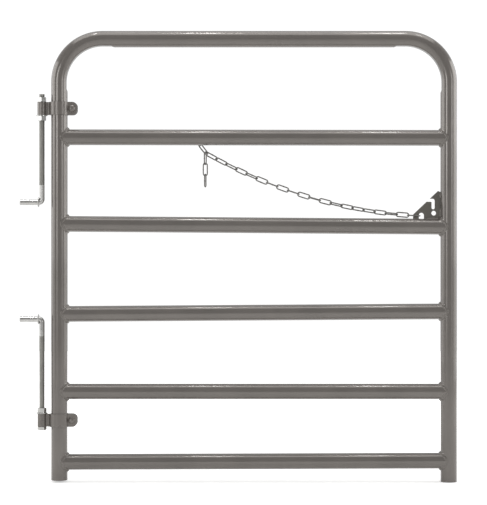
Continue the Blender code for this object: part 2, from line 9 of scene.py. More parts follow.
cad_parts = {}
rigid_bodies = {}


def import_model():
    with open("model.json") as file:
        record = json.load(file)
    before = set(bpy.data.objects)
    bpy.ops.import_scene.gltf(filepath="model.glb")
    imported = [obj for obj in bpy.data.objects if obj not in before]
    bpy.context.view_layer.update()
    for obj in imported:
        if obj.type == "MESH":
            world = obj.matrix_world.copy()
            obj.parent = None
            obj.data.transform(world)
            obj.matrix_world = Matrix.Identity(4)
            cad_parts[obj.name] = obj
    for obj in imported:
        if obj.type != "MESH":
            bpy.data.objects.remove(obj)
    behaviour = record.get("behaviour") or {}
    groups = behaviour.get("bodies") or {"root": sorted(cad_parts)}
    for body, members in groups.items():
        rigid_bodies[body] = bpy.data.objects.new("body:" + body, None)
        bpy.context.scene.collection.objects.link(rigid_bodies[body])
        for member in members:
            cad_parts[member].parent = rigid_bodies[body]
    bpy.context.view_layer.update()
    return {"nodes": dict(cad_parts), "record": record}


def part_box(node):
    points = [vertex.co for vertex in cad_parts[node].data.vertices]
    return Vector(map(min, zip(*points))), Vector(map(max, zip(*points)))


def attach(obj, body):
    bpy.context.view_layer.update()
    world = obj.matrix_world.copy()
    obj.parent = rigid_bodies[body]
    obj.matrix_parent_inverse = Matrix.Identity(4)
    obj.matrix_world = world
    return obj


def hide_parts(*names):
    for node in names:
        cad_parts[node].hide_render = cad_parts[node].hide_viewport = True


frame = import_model()
print("frame loaded:", len(frame["nodes"]), "nodes")

# Places read from the frame
swing = frame["record"]["behaviour"]["joints"][0]
leafBody = swing["child"]
boltBody = swing["parent"]
hingeX = swing["pos_m"][0]
tubeLow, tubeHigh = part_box("frame_tube")
tubeRadius = (tubeHigh.y - tubeLow.y) / 2
leftX = tubeLow.x + tubeRadius
rightX = tubeHigh.x - tubeRadius
topZ = tubeHigh.z - tubeRadius
railCount = 5

# Gap that stands for a touching or welded joint, as in the frame
seatGap = 0.0003
# How far beside an upright a node's points still belong to it
uprightMargin = 0.002


# The points of a node of the frame, each place once, to the micrometre
def nodePoints(node):
    places = {tuple(round(c, 6) for c in v.co) for v in frame["nodes"][node].data.vertices}
    return [Vector(place) for place in sorted(places)]


def heightsAt(node, x):
    return [p.z for p in nodePoints(node) if abs(p.x - x) < tubeRadius + uprightMargin]


# Height of a rail's centre line at each upright
def railEnds(number):
    ends = [heightsAt(f"rail_{number}", x) for x in (leftX, rightX)]
    return [(max(heights) + min(heights)) / 2 for heights in ends]


railHeights = [railEnds(number + 1) for number in range(railCount)]
leftFoot = min(heightsAt("frame_tube", leftX))
rightFoot = min(heightsAt("frame_tube", rightX))


def railHeight(number, x):
    left, right = railHeights[number - 1]
    return left + (right - left) * (x - leftX) / (rightX - leftX)


# Camera, level and square to the leaf, as in the photograph
def placeCamera():
    shot = {
        "imageSize": (487, 505),
        "pixelsPerMetre": 340.7,
        "leftEdgePixel": 51.15,
        "leftFootPixel": 480.0,
        "distance": 5.3,
        "sensor": 36.0,
        "farthestSeen": 60,
    }
    across, down = shot["imageSize"]
    x = tubeLow.x + (across / 2 - shot["leftEdgePixel"]) / shot["pixelsPerMetre"]
    z = leftFoot + (shot["leftFootPixel"] - down / 2) / shot["pixelsPerMetre"]
    data = bpy.data.cameras.new("camera")
    data.sensor_width = shot["sensor"]
    data.lens = shot["sensor"] * shot["distance"] * shot["pixelsPerMetre"] / max(across, down)
    data.clip_end = shot["farthestSeen"]
    camera = bpy.data.objects.new("camera", data)
    camera.location = (x, -shot["distance"], z)
    camera.rotation_euler = (math.radians(90), 0, 0)
    bpy.context.scene.collection.objects.link(camera)
    bpy.context.scene.camera = camera


placeCamera()
print("camera placed")


# Shader helpers
def nodeGroup(name, inputs, outputs):
    group = bpy.data.node_groups.new(name, "ShaderNodeTree")
    for label, kind, value in inputs:
        socket = group.interface.new_socket(name=label, in_out="INPUT", socket_type=kind)
        if value is not None:
            socket.default_value = value
    for label, kind in outputs:
        group.interface.new_socket(name=label, in_out="OUTPUT", socket_type=kind)
    start = group.nodes.new("NodeGroupInput")
    end = group.nodes.new("NodeGroupOutput")
    return group, start, end


def mathNode(tree, operation, first, second):
    node = tree.nodes.new("ShaderNodeMath")
    node.operation = operation
    for socket, value in zip(node.inputs, (first, second)):
        if isinstance(value, (int, float)):
            socket.default_value = value
        else:
            tree.links.new(value, socket)
    return node.outputs[0]


def noiseNode(tree, vector, scale, detail=2.0):
    node = tree.nodes.new("ShaderNodeTexNoise")
    node.inputs["Detail"].default_value = detail
    tree.links.new(vector, node.inputs["Vector"])
    if isinstance(scale, (int, float)):
        node.inputs["Scale"].default_value = scale
    else:
        tree.links.new(scale, node.inputs["Scale"])
    return node.outputs["Fac"]


# Orange peel of a sprayed or powder coat: a fine height and a faint cloudiness
def makePeelGroup():
    group, start, end = nodeGroup(
        "orangePeel",
        [
            ("Grain", "NodeSocketFloat", 420.0),
            ("Cloud", "NodeSocketFloat", 9.0),
            ("Depth", "NodeSocketFloat", 0.5),
        ],
        [("Height", "NodeSocketFloat"), ("Mask", "NodeSocketFloat")],
    )
    place = group.nodes.new("ShaderNodeTexCoord").outputs["Object"]
    fine = noiseNode(group, place, start.outputs["Grain"], detail=2.5)
    cloud = noiseNode(group, place, start.outputs["Cloud"], detail=3.0)
    height = mathNode(group, "MULTIPLY", fine, start.outputs["Depth"])
    group.links.new(height, end.inputs["Height"])
    group.links.new(cloud, end.inputs["Mask"])
    return group


# Lines drawn out along a tube by the mill, from the piece's length and girth coordinates
def makeDrawnGroup():
    group, start, end = nodeGroup(
        "drawnLines",
        [
            ("Fineness", "NodeSocketFloat", 260.0),
            ("Changes", "NodeSocketFloat", 3.5),
            ("Depth", "NodeSocketFloat", 1.0),
        ],
        [("Height", "NodeSocketFloat")],
    )
    place = group.nodes.new("ShaderNodeUVMap")
    place.uv_map = "runs"
    split = group.nodes.new("ShaderNodeSeparateXYZ")
    group.links.new(place.outputs["UV"], split.inputs[0])
    join = group.nodes.new("ShaderNodeCombineXYZ")
    lengthwise = mathNode(group, "MULTIPLY", split.outputs[0], start.outputs["Changes"])
    girth = mathNode(group, "MULTIPLY", split.outputs[1], start.outputs["Fineness"])
    group.links.new(lengthwise, join.inputs[0])
    group.links.new(girth, join.inputs[1])
    lines = noiseNode(group, join.outputs[0], 1.0)
    height = mathNode(group, "MULTIPLY", lines, start.outputs["Depth"])
    group.links.new(height, end.inputs["Height"])
    return group


# Rubbed edges and corners: 1 where the surface turns outwards sharply
def makeWearGroup():
    group, start, end = nodeGroup(
        "rubbedEdges",
        [
            ("Patch", "NodeSocketFloat", 90.0),
            ("Start", "NodeSocketFloat", 0.54),
            ("Strength", "NodeSocketFloat", 9.0),
        ],
        [("Mask", "NodeSocketFloat")],
    )
    sharp = group.nodes.new("ShaderNodeNewGeometry").outputs["Pointiness"]
    raised = mathNode(group, "SUBTRACT", sharp, start.outputs["Start"])
    strong = mathNode(group, "MULTIPLY", raised, start.outputs["Strength"])
    place = group.nodes.new("ShaderNodeTexCoord").outputs["Object"]
    patch = noiseNode(group, place, start.outputs["Patch"], detail=3.0)
    both = mathNode(group, "MULTIPLY", strong, patch)
    clamped = mathNode(group, "MAXIMUM", both, 0.0)
    group.links.new(mathNode(group, "MINIMUM", clamped, 1.0), end.inputs["Mask"])
    return group


peelGroup = makePeelGroup()
drawnGroup = makeDrawnGroup()
wearGroup = makeWearGroup()


def newMaterial(name, settings):
    material = bpy.data.materials.new(name)
    material.use_nodes = True
    material.diffuse_color = (*settings["colour"], 1)
    shader = material.node_tree.nodes["Principled BSDF"]
    shader.inputs["Metallic"].default_value = settings["metallic"]
    shader.inputs["Coat Weight"].default_value = settings.get("coat", 0.0)
    shader.inputs["Coat Roughness"].default_value = settings.get("coatRoughness", 0.1)
    return material, shader


def placeGroup(tree, group, **values):
    node = tree.nodes.new("ShaderNodeGroup")
    node.node_tree = group
    for label, value in values.items():
        node.inputs[label].default_value = value
    return node


# The colours of a mix node are its inputs 6 and 7 and its output 2
def mixColour(tree, mask, first, second):
    node = tree.nodes.new("ShaderNodeMix")
    node.data_type = "RGBA"
    tree.links.new(mask, node.inputs["Factor"])
    for socket, colour in ((node.inputs[6], first), (node.inputs[7], second)):
        if isinstance(colour, tuple):
            socket.default_value = (*colour, 1)
        else:
            tree.links.new(colour, socket)
    return node.outputs[2]


def mapRange(tree, value, start, end):
    node = tree.nodes.new("ShaderNodeMapRange")
    tree.links.new(value, node.inputs["Value"])
    node.inputs["From Min"].default_value, node.inputs["From Max"].default_value = start
    node.inputs["To Min"].default_value, node.inputs["To Max"].default_value = end
    return node.outputs[0]


# Part of a cloudy mask's values that is spread over a finish's whole range
cloudRange = (0.3, 0.7)
# How much darker and lighter than its colour a paint clouds
paintClouding = 0.07


def bumpNode(tree, shader, height, distance):
    node = tree.nodes.new("ShaderNodeBump")
    node.inputs["Distance"].default_value = distance
    node.inputs["Strength"].default_value = 1.0
    tree.links.new(height, node.inputs["Height"])
    tree.links.new(node.outputs[0], shader.inputs["Normal"])


# Painted steel: cloudy base colour, orange peel, and lines along drawn tubes
def makePaint(name, settings):
    material, shader = newMaterial(name, settings)
    tree = material.node_tree
    peel = placeGroup(tree, peelGroup, Grain=settings["grain"], Depth=settings["peel"])
    mask = peel.outputs["Mask"]
    darker = tuple(c * (1 - paintClouding) for c in settings["colour"])
    lighter = tuple(c * (1 + paintClouding) for c in settings["colour"])
    base = mixColour(tree, mapRange(tree, mask, cloudRange, (0.0, 1.0)), darker, lighter)
    tree.links.new(base, shader.inputs["Base Color"])
    gloss = mapRange(tree, mask, cloudRange, settings["roughness"])
    tree.links.new(gloss, shader.inputs["Roughness"])
    height = peel.outputs["Height"]
    if "drawn" in settings:
        drawn = placeGroup(tree, drawnGroup, Depth=settings["drawn"])
        height = mathNode(tree, "ADD", height, drawn.outputs["Height"])
    bumpNode(tree, shader, height, settings["bumpDistance"])
    return material


# Bare or plated steel: brighter on rubbed edges, mottled between
def makeSteel(name, settings):
    material, shader = newMaterial(name, settings)
    tree = material.node_tree
    grain, mottle, depth = settings["grain"], settings["mottle"], settings["peel"]
    peel = placeGroup(tree, peelGroup, Grain=grain, Cloud=mottle, Depth=depth)
    mask = peel.outputs["Mask"]
    wear = placeGroup(tree, wearGroup)
    cloud = mapRange(tree, mask, cloudRange, (0.0, 1.0))
    base = mixColour(tree, cloud, settings["dark"], settings["colour"])
    worn = mixColour(tree, wear.outputs["Mask"], base, settings["rubbed"])
    tree.links.new(worn, shader.inputs["Base Color"])
    gloss = mapRange(tree, mask, cloudRange, settings["roughness"])
    tree.links.new(gloss, shader.inputs["Roughness"])
    bumpNode(tree, shader, peel.outputs["Height"], settings["bumpDistance"])
    return material


paints = {
    "gatePaint": {
        "colour": (0.168, 0.1515, 0.138),
        "metallic": 0.40,
        "roughness": (0.24, 0.32),
        "coat": 0.6,
        "coatRoughness": 0.13,
        "grain": 420.0,
        "peel": 0.35,
        "bumpDistance": 0.00005,
    },
    "tubePaint": {
        "colour": (0.168, 0.1515, 0.138),
        "metallic": 0.40,
        "roughness": (0.15, 0.21),
        "coat": 0.8,
        "coatRoughness": 0.05,
        "grain": 420.0,
        "peel": 0.12,
        "drawn": 0.6,
        "bumpDistance": 0.00005,
    },
    # Same paint as the gate, its colour darkened as painted shade for the dim surroundings the
    # plate's flat face reflects
    "plateShadedPaint": {
        "colour": (0.135, 0.127, 0.112),
        "metallic": 0.25,
        "roughness": (0.30, 0.42),
        "grain": 380.0,
        "peel": 0.5,
        "bumpDistance": 0.00006,
    },
}
steels = {
    "chainSteel": {
        "colour": (0.25, 0.243, 0.232),
        "dark": (0.17, 0.165, 0.157),
        "rubbed": (0.42, 0.41, 0.39),
        "metallic": 0.8,
        "roughness": (0.32, 0.45),
        "grain": 500.0,
        "mottle": 60.0,
        "peel": 0.6,
        "bumpDistance": 0.00008,
    },
    "zincPlate": {
        "colour": (0.62, 0.615, 0.60),
        "dark": (0.48, 0.475, 0.46),
        "rubbed": (0.72, 0.72, 0.70),
        "metallic": 1.0,
        "roughness": (0.08, 0.13),
        "grain": 300.0,
        "mottle": 45.0,
        "peel": 0.4,
        "bumpDistance": 0.000015,
    },
    # Same zinc plating as the pins, its colours darkened as painted shade between the thread's
    # turns
    "zincThreadShaded": {
        "colour": (0.33, 0.324, 0.303),
        "dark": (0.24, 0.237, 0.220),
        "rubbed": (0.42, 0.41, 0.385),
        "metallic": 0.9,
        "roughness": (0.38, 0.50),
        "grain": 500.0,
        "mottle": 30.0,
        "peel": 0.6,
        "bumpDistance": 0.00006,
    },
}
finishes = {name: makePaint(name, settings) for name, settings in paints.items()}
finishes.update({name: makeSteel(name, settings) for name, settings in steels.items()})
print("finishes made")


# Mesh helpers

# Quads between neighbouring rings of points, with texture coordinates in metres:
# the first along the run, the second around it
def loft(name, rings, closed=False):
    sides = len(rings[0])
    points = [tuple(p) for ring in rings for p in ring]
    centres = [sum((Vector(p) for p in ring), Vector()) / sides for ring in rings]
    along = [0.0]
    for one, two in zip(centres, centres[1:]):
        along.append(along[-1] + (two - one).length)
    along.append(along[-1])
    girth = sum((Vector(rings[0][i]) - Vector(rings[0][i - 1])).length for i in range(sides))
    faces = []
    runs = []
    spans = len(rings) if closed else len(rings) - 1
    for row in range(spans):
        here = row * sides
        there = (row + 1) % len(rings) * sides
        for i in range(sides):
            j = (i + 1) % sides
            faces.append((here + i, here + j, there + j, there + i))
            low, high = girth * i / sides, girth * (i + 1) / sides
            before, after = along[row], along[row + 1]
            runs += [(before, low), (before, high), (after, high), (after, low)]
    if not closed:
        last = (len(rings) - 1) * sides
        faces.append(tuple(reversed(range(sides))))
        faces.append(tuple(range(last, last + sides)))
        runs += [(0.0, 0.0)] * (2 * sides)
    mesh = bpy.data.meshes.new(name)
    mesh.from_pydata(points, [], faces)
    layer = mesh.uv_layers.new(name="runs")
    for loop, place in zip(layer.data, runs):
        loop.uv = place
    outward(mesh)
    return mesh


def outward(mesh):
    bm = bmesh.new()
    bm.from_mesh(mesh)
    bmesh.ops.recalc_face_normals(bm, faces=bm.faces)
    bm.to_mesh(mesh)
    bm.free()


def joined(name, meshes):
    bm = bmesh.new()
    for mesh in meshes:
        bm.from_mesh(mesh)
        bpy.data.meshes.remove(mesh)
    made = bpy.data.meshes.new(name)
    bm.to_mesh(made)
    bm.free()
    return made


# A finished piece on its body, which may stand for nodes of the frame
def addPiece(name, mesh, finish, body, nodes=(), smooth=40):
    mesh.name = name
    mesh.shade_smooth()
    mesh.set_sharp_from_angle(angle=math.radians(smooth))
    mesh.materials.append(finishes[finish])
    piece = bpy.data.objects.new(name, mesh)
    bpy.context.scene.collection.objects.link(piece)
    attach(piece, body)
    if nodes:
        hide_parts(*nodes)
    return piece


def addBevel(piece, width, angle):
    bevel = piece.modifiers.new("softened edges", "BEVEL")
    bevel.width = width
    bevel.segments = 2
    bevel.limit_method = "ANGLE"
    bevel.angle_limit = math.radians(angle)
    bevel.harden_normals = True


def smoothStep(value, low, high):
    t = min(max((value - low) / (high - low), 0.0), 1.0)
    return t * t * (3 - 2 * t)


def circleTurns(sides):
    return [2 * math.pi * k / sides for k in range(sides)]


# Round bar along a line of points; a list of radii makes it taper
def roundBar(name, path, radius, sides, closed=False):
    path = [Vector(p) for p in path]
    count = len(path)
    radii = radius if isinstance(radius, list) else [radius] * count
    rings = []
    side = None
    for i, place in enumerate(path):
        before = path[i - 1] if closed or i > 0 else place
        after = path[(i + 1) % count] if closed or i < count - 1 else place
        ahead = (after - before).normalized()
        if side is None:
            side = ahead.orthogonal().normalized()
        side = (side - ahead * side.dot(ahead)).normalized()
        up = ahead.cross(side)
        outwards = [side * math.cos(t) + up * math.sin(t) for t in circleTurns(sides)]
        rings.append([place + way * radii[i] for way in outwards])
    return loft(name, rings, closed)


# Body of revolution about Z from (radius, height) points
def turned(name, profile, sides, closed=False):
    circle = [(math.cos(t), math.sin(t)) for t in circleTurns(sides)]
    rings = [[(radius * c, radius * s, height) for c, s in circle] for radius, height in profile]
    return loft(name, rings, closed)


def arcPoints(centre, radius, start, end, steps):
    angles = [math.radians(start + (end - start) * i / steps) for i in range(steps + 1)]
    return [(centre[0] + radius * math.cos(a), centre[1] + radius * math.sin(a)) for a in angles]


# Leaf frame tube: one bent tube whose inner side is crushed at both bends
frameTube = {
    "wall": 0.0021,
    "bendRadius": 0.127,
    "bendSteps": 48,
    "straightSteps": 12,
    "creaseSteps": 20,
    "crushDepth": 0.0035,
    "crushRuns": {"leftLeg": 0.0180, "leftTop": 0.0245, "rightTop": 0.0255, "rightLeg": 0.0215},
    "crushCrease": 0.009,
    "crushSoftness": 0.0006,
    "sides": 72,
    "edgeSoftening": 0.0005,
}


# Centre line places, each with the direction of the inner side and how far that side is crushed
def frameStations():
    bend = frameTube["bendRadius"]
    runs = frameTube["crushRuns"]
    crease = frameTube["crushCrease"]
    reach = max(runs.values()) + crease
    low = topZ - bend
    straight, creased = frameTube["straightSteps"], frameTube["creaseSteps"]
    stations = []

    def crush(run, leg):
        return 1 - smoothStep(run, runs[leg], runs[leg] + crease)

    def upright(x, foot, inward, leg):
        heights = [foot, foot + frameTube["edgeSoftening"]]
        heights += [foot + (low - reach - foot) * i / straight for i in range(1, straight)]
        heights += [low - reach + reach * i / creased for i in range(creased)]
        side = Vector((inward, 0, 0))
        return [(Vector((x, 0, z)), side, crush(low - z, leg)) for z in heights]

    def corner(x, start, end):
        turn = arcPoints((x, low), bend, start, end, frameTube["bendSteps"])
        sides = [Vector((x - a, 0, low - b)).normalized() for a, b in turn]
        return [(Vector((a, 0, b)), side, 1.0) for (a, b), side in zip(turn, sides)]

    def level(x, run, leg):
        return (Vector((x, 0, topZ)), Vector((0, 0, -1)), crush(run, leg))

    stations += upright(leftX, leftFoot, 1, "leftLeg")
    stations += corner(leftX + bend, 180, 90)
    near = [reach * i / creased for i in range(1, creased + 1)]
    stations += [level(leftX + bend + run, run, "leftTop") for run in near]
    first = leftX + bend + reach
    span = rightX - leftX - 2 * bend - 2 * reach
    middle = [first + span * i / straight for i in range(1, straight)]
    stations += [level(x, reach, "leftTop") for x in middle]
    stations += [level(rightX - bend - run, run, "rightTop") for run in reversed(near)]
    stations += corner(rightX - bend, 90, 0)
    stations += list(reversed(upright(rightX, rightFoot, -1, "rightLeg")))
    return stations


def tubeRing(centre, inward, crush, radius, shrink=0.0):
    limit = radius - frameTube["crushDepth"] * crush
    soft = frameTube["crushSoftness"]
    ring = []
    for turn in circleTurns(frameTube["sides"]):
        reach = radius * math.cos(turn)
        if crush > 0:
            gap = (limit - reach) / soft
            reach = limit - soft * (math.log1p(math.exp(-abs(gap))) + max(gap, 0.0))
        aside = Vector((0, radius * math.sin(turn), 0))
        ring.append(centre + (inward * reach + aside) * (1 - shrink))
    return ring


def makeFrameTube():
    stations = frameStations()
    softening = frameTube["edgeSoftening"] / tubeRadius
    ends = (0, len(stations) - 1)
    outer = []
    inner = []
    for i, (centre, inward, crush) in enumerate(stations):
        shrink = softening if i in ends else 0.0
        outer.append(tubeRing(centre, inward, crush, tubeRadius, shrink))
        inner.append(tubeRing(centre, inward, crush, tubeRadius - frameTube["wall"]))
    mesh = loft("frame_tube_finish", outer + inner[::-1], closed=True)
    addPiece("frame_tube_finish", mesh, "tubePaint", leafBody, ["frame_tube"], smooth=50)


makeFrameTube()
print("frame tube made")

# Rails, their ends coped to the uprights
rails = {"diameter": 0.0465, "wall": 0.0020, "sides": 72, "spans": 12}
railRadius = rails["diameter"] / 2


# How far a rail's end, at a depth of y, stands off the upright's centre line
def cope(y):
    return math.sqrt((tubeRadius + seatGap) ** 2 - y * y)


def makeRail(number):
    rings = {"outer": [], "inner": []}
    for i in range(rails["spans"] + 1):
        share = i / rails["spans"]
        for skin, radius in (("outer", railRadius), ("inner", railRadius - rails["wall"])):
            ring = []
            for turn in circleTurns(rails["sides"]):
                y = radius * math.sin(turn)
                start = leftX + cope(y)
                x = start + (rightX - cope(y) - start) * share
                ring.append((x, y, railHeight(number, x) + radius * math.cos(turn)))
            rings[skin].append(ring)
    name = f"rail_{number}_finish"
    mesh = loft(name, rings["outer"] + rings["inner"][::-1], closed=True)
    addPiece(name, mesh, "tubePaint", leafBody, [f"rail_{number}"], smooth=50)


for railNumber in range(1, railCount + 1):
    makeRail(railNumber)
print("rails made")

# Welds: rippled beads laid along a seam between two surfaces
weld = {
    "frontWidth": 0.0040,
    "frontHeight": 0.0013,
    "cornerWidth": 0.0066,
    "cornerHeight": 0.0046,
    "cornerSharpness": 1.5,
    "ripplePitch": 0.0026,
    "rippleDepth": 0.07,
    "rippleMiddle": 0.6,
    # Slow unevenness of a hand-laid bead: depth, radians per metre, share of the seed
    "wavers": ((0.06, 310, 1.0), (0.05, 137, 2.1)),
    "seedPerMetre": 90,
    "endSharpness": 6,
    "smallestEnd": 0.02,
    "sides": 14,
    "ringsPerRipple": 4,
}


# Stations hold a place, the ways along and out, half the width and the height, in seam order
def weldBead(name, stations, closed, seed):
    rings = []
    travelled = 0.0
    last = None
    for i, (place, along, out, width, height) in enumerate(stations):
        if last is not None:
            travelled += (place - last).length
        last = place
        wave = abs(math.sin(math.pi * travelled / weld["ripplePitch"]))
        uneven = sum(
            depth * math.sin(travelled * rate + share * seed)
            for depth, rate, share in weld["wavers"]
        )
        size = 1 + weld["rippleDepth"] * (wave - weld["rippleMiddle"]) + uneven
        taper = 1.0
        if not closed:
            toEnd = abs(2 * i / (len(stations) - 1) - 1)
            taper = math.sqrt(max(1 - toEnd ** weld["endSharpness"], weld["smallestEnd"]))
        side = along.cross(out).normalized()
        ring = []
        for turn in circleTurns(weld["sides"]):
            lift = out * math.cos(turn) * height * size
            spread = side * math.sin(turn) * width * (1 + uneven)
            ring.append(place + (lift + spread) * taper)
        rings.append(ring)
    return loft(name, rings, closed)


def railSeam(number, x, facing):
    count = int(2 * math.pi * railRadius / weld["ripplePitch"] * weld["ringsPerRipple"])
    places = []
    for turn in circleTurns(count):
        y = railRadius * math.sin(turn)
        reach = cope(y)
        height = railHeight(number, x + facing * reach) + railRadius * math.cos(turn)
        upright = Vector((facing * reach, y, 0)).normalized()
        rail = Vector((0, math.sin(turn), math.cos(turn)))
        place = Vector((x + facing * reach, y, height))
        places.append((place, (upright + rail).normalized(), abs(math.cos(turn))))
    stations = []
    for i, (place, out, corner) in enumerate(places):
        along = (places[(i + 1) % count][0] - places[i - 1][0]).normalized()
        out = (out - along * out.dot(along)).normalized()
        fill = corner ** weld["cornerSharpness"]
        width = weld["frontWidth"] + (weld["cornerWidth"] - weld["frontWidth"]) * fill
        height = weld["frontHeight"] + (weld["cornerHeight"] - weld["frontHeight"]) * fill
        stations.append((place, along, out, width, height))
    return stations


for railNumber in range(1, railCount + 1):
    for sideName, uprightX, facing in (("left", leftX, 1), ("right", rightX, -1)):
        beadName = f"rail_{railNumber}_{sideName}_weld"
        seam = railSeam(railNumber, uprightX, facing)
        beadMesh = weldBead(beadName, seam, True, railNumber + facing)
        addPiece(beadName, beadMesh, "gatePaint", leafBody, smooth=60)
print("rail welds made")

# Threads, 11 and 16 to the inch; shares are of a thread's depth
inch = 0.0254
threads = {
    "rod": {"pitch": inch / 11, "depth": 0.0007, "sides": 24},
    "clamp": {"pitch": inch / 16, "depth": 0.0008, "sides": 20},
    "flankShare": 0.45,
    "endShare": 0.5,
    "mergeReach": 0.00002,
    "shortestEdge": 0.00001,
}


# Threaded bar up Z: each turn of the thread is root, flank, crest, flank
def threadedBar(name, low, high, radius, kind):
    thread = threads[kind]
    depth, pitch, sides = thread["depth"], thread["pitch"], thread["sides"]
    flank = radius - depth * threads["flankShare"]
    profile = [radius - depth, flank, radius, flank]
    rows = len(profile)
    count = int((high - low) / pitch * rows) + 2 * rows
    points = []
    for row in range(count):
        for k in range(sides):
            turn = 2 * math.pi * k / sides
            height = low - pitch + (row / rows + k / sides) * pitch
            reach = profile[row % rows]
            if height < low or height > high:
                reach = min(reach, radius - depth * threads["endShare"])
            height = min(max(height, low), high)
            points.append((reach * math.cos(turn), reach * math.sin(turn), height))
    faces = []
    for row in range(count - 1):
        for k in range(sides):
            here = row * sides + k
            # The last point of a row goes on to the first one a whole turn higher
            nextHere = here + 1 if k + 1 < sides else (row + rows) * sides
            if nextHere + sides < count * sides:
                faces.append((here, nextHere, nextHere + sides, here + sides))
    mesh = bpy.data.meshes.new(name)
    mesh.from_pydata(points, [], faces)
    bm = bmesh.new()
    bm.from_mesh(mesh)
    bmesh.ops.remove_doubles(bm, verts=bm.verts, dist=threads["mergeReach"])
    bmesh.ops.dissolve_degenerate(bm, edges=bm.edges, dist=threads["shortestEdge"])
    holes = [edge for edge in bm.edges if edge.is_boundary]
    bmesh.ops.holes_fill(bm, edges=holes, sides=0)
    bmesh.ops.recalc_face_normals(bm, faces=bm.faces)
    bm.to_mesh(mesh)
    bm.free()
    return mesh


# Hinge bolts: threaded rod, plain bend and pin with a rolled collar
hingeBolt = {
    "diameter": 0.0159,
    "bendRadius": 0.0092,
    "bendSteps": 16,
    "sides": 40,
    "threadRadius": 0.0081,
    "plainReach": 0.050,
    "collarDiameter": 0.0286,
    "collarThickness": 0.0030,
    "collarBoreShare": 0.9,
    "collarSides": 48,
    "rimSteps": 8,
    "tipChamfer": 0.0012,
}


# The upper bolt's rod stands above its pin, side 1, and the lower bolt's hangs below it, side -1
def makeHingeBolt(which, side):
    node = f"{which}_hinge_bolt"
    low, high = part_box(node)
    radius = hingeBolt["diameter"] / 2
    collar = hingeBolt["collarDiameter"] / 2
    bend = hingeBolt["bendRadius"]
    pinZ = low.z + collar if side > 0 else high.z - collar
    rodEnd = high.z if side > 0 else low.z

    # Plain shank, bend and pin
    chamfer = hingeBolt["tipChamfer"]
    start = pinZ + side * hingeBolt["plainReach"]
    path = [(hingeX, 0, start)]
    corner = (hingeX - bend, pinZ + side * bend)
    path += [(x, 0, z) for x, z in arcPoints(corner, bend, 0, -90 * side, hingeBolt["bendSteps"])]
    path += [(low.x + chamfer, 0, pinZ), (low.x, 0, pinZ)]
    radii = [radius] * (len(path) - 1) + [radius - chamfer]
    shank = roundBar(node, path, radii, hingeBolt["sides"])

    # Collar, rounded on its rim, with its seat face at x = 0
    half = hingeBolt["collarThickness"] / 2
    bore = radius * hingeBolt["collarBoreShare"]
    rim = arcPoints((collar - half, 0), half, -90, 90, hingeBolt["rimSteps"])
    profile = [(bore, -half)] + rim + [(bore, half)]
    ring = turned(node, profile, hingeBolt["collarSides"], closed=True)
    place = Matrix.Translation((half, 0, pinZ)) @ Matrix.Rotation(math.radians(90), 4, "Y")
    ring.transform(place)
    pin = joined(node, [shank, ring])
    addPiece(f"{node}_pin", pin, "zincPlate", boltBody, [node])

    # Threaded length
    bottom, top = sorted((start, rodEnd))
    rod = threadedBar(node, bottom, top, hingeBolt["threadRadius"], "rod")
    rod.transform(Matrix.Translation((hingeX, 0, 0)))
    addPiece(f"{node}_thread", rod, "zincThreadShaded", boltBody, [node], smooth=70)


makeHingeBolt("upper", 1)
makeHingeBolt("lower", -1)


# Forged nuts and stamped washers of every size
nutShape = {
    "pointsPerSide": 8,
    "chamferSlope": 30,
    "chamferStart": 0.97,
    "boreBevelShare": 0.08,
    "largestBoreBevel": 0.0008,
}
washerShape = {"roundShare": 0.3, "roundSteps": 4, "sides": 56}


# Chamfered hexagon nut about Z, standing on z = 0
def hexNut(name, flats, thickness, bore, turn):
    perSide = nutShape["pointsPerSide"]
    slope = math.tan(math.radians(nutShape["chamferSlope"]))
    inner = flats / 2 * nutShape["chamferStart"]
    around = []
    for k, angle in enumerate(circleTurns(6 * perSide)):
        local = (k % perSide) / perSide * math.radians(60) - math.radians(30)
        corner = flats / 2 / math.cos(local)
        around.append((math.cos(angle + turn), math.sin(angle + turn), corner))
    bevel = min(thickness * nutShape["boreBevelShare"], nutShape["largestBoreBevel"])

    def ring(radiusOf, heightOf):
        return [(c * radiusOf(r), s * radiusOf(r), heightOf(r)) for c, s, r in around]

    rings = [
        ring(lambda r: bore, lambda r: bevel),
        ring(lambda r: bore, lambda r: thickness - bevel),
        ring(lambda r: bore + bevel, lambda r: thickness),
        ring(lambda r: inner, lambda r: thickness),
        ring(lambda r: r, lambda r: thickness - max(r - inner, 0) * slope),
        ring(lambda r: r, lambda r: max(r - inner, 0) * slope),
        ring(lambda r: inner, lambda r: 0.0),
        ring(lambda r: bore + bevel, lambda r: 0.0),
    ]
    return loft(name, rings, closed=True)


def roundWasher(name, radius, thickness, bore):
    edge = thickness * washerShape["roundShare"]
    steps = washerShape["roundSteps"]
    lower = arcPoints((radius - edge, edge), edge, -90, 0, steps)
    upper = arcPoints((radius - edge, thickness - edge), edge, 0, 90, steps)
    profile = [(bore, 0)] + lower + upper + [(bore, thickness)]
    return turned(name, profile, washerShape["sides"], closed=True)


# Nuts and washers on the rods, each nut turned by hand a little differently
rodHardware = {
    "flats": 0.0238,
    "bore": 0.00825,
    "nutTurns": {
        "upper_top_nut": 31,
        "upper_bottom_nut": 31,
        "lower_top_nut": 4,
        "lower_bottom_nut": 3,
    },
    "washers": ("upper_washer", "lower_washer"),
}


def makeRodHardware():
    flats, bore = rodHardware["flats"], rodHardware["bore"]
    for node, degrees in rodHardware["nutTurns"].items():
        low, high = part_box(node)
        mesh = hexNut(node, flats, high.z - low.z, bore, math.radians(degrees))
        mesh.transform(Matrix.Translation((hingeX, 0, low.z)))
        addPiece(f"{node}_finish", mesh, "zincPlate", boltBody, [node], smooth=30)
    for node in rodHardware["washers"]:
        low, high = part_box(node)
        mesh = roundWasher(node, (high.x - low.x) / 2, high.z - low.z, bore)
        mesh.transform(Matrix.Translation((hingeX, 0, low.z)))
        addPiece(f"{node}_finish", mesh, "zincPlate", boltBody, [node])


makeRodHardware()
print("hinge bolts made")

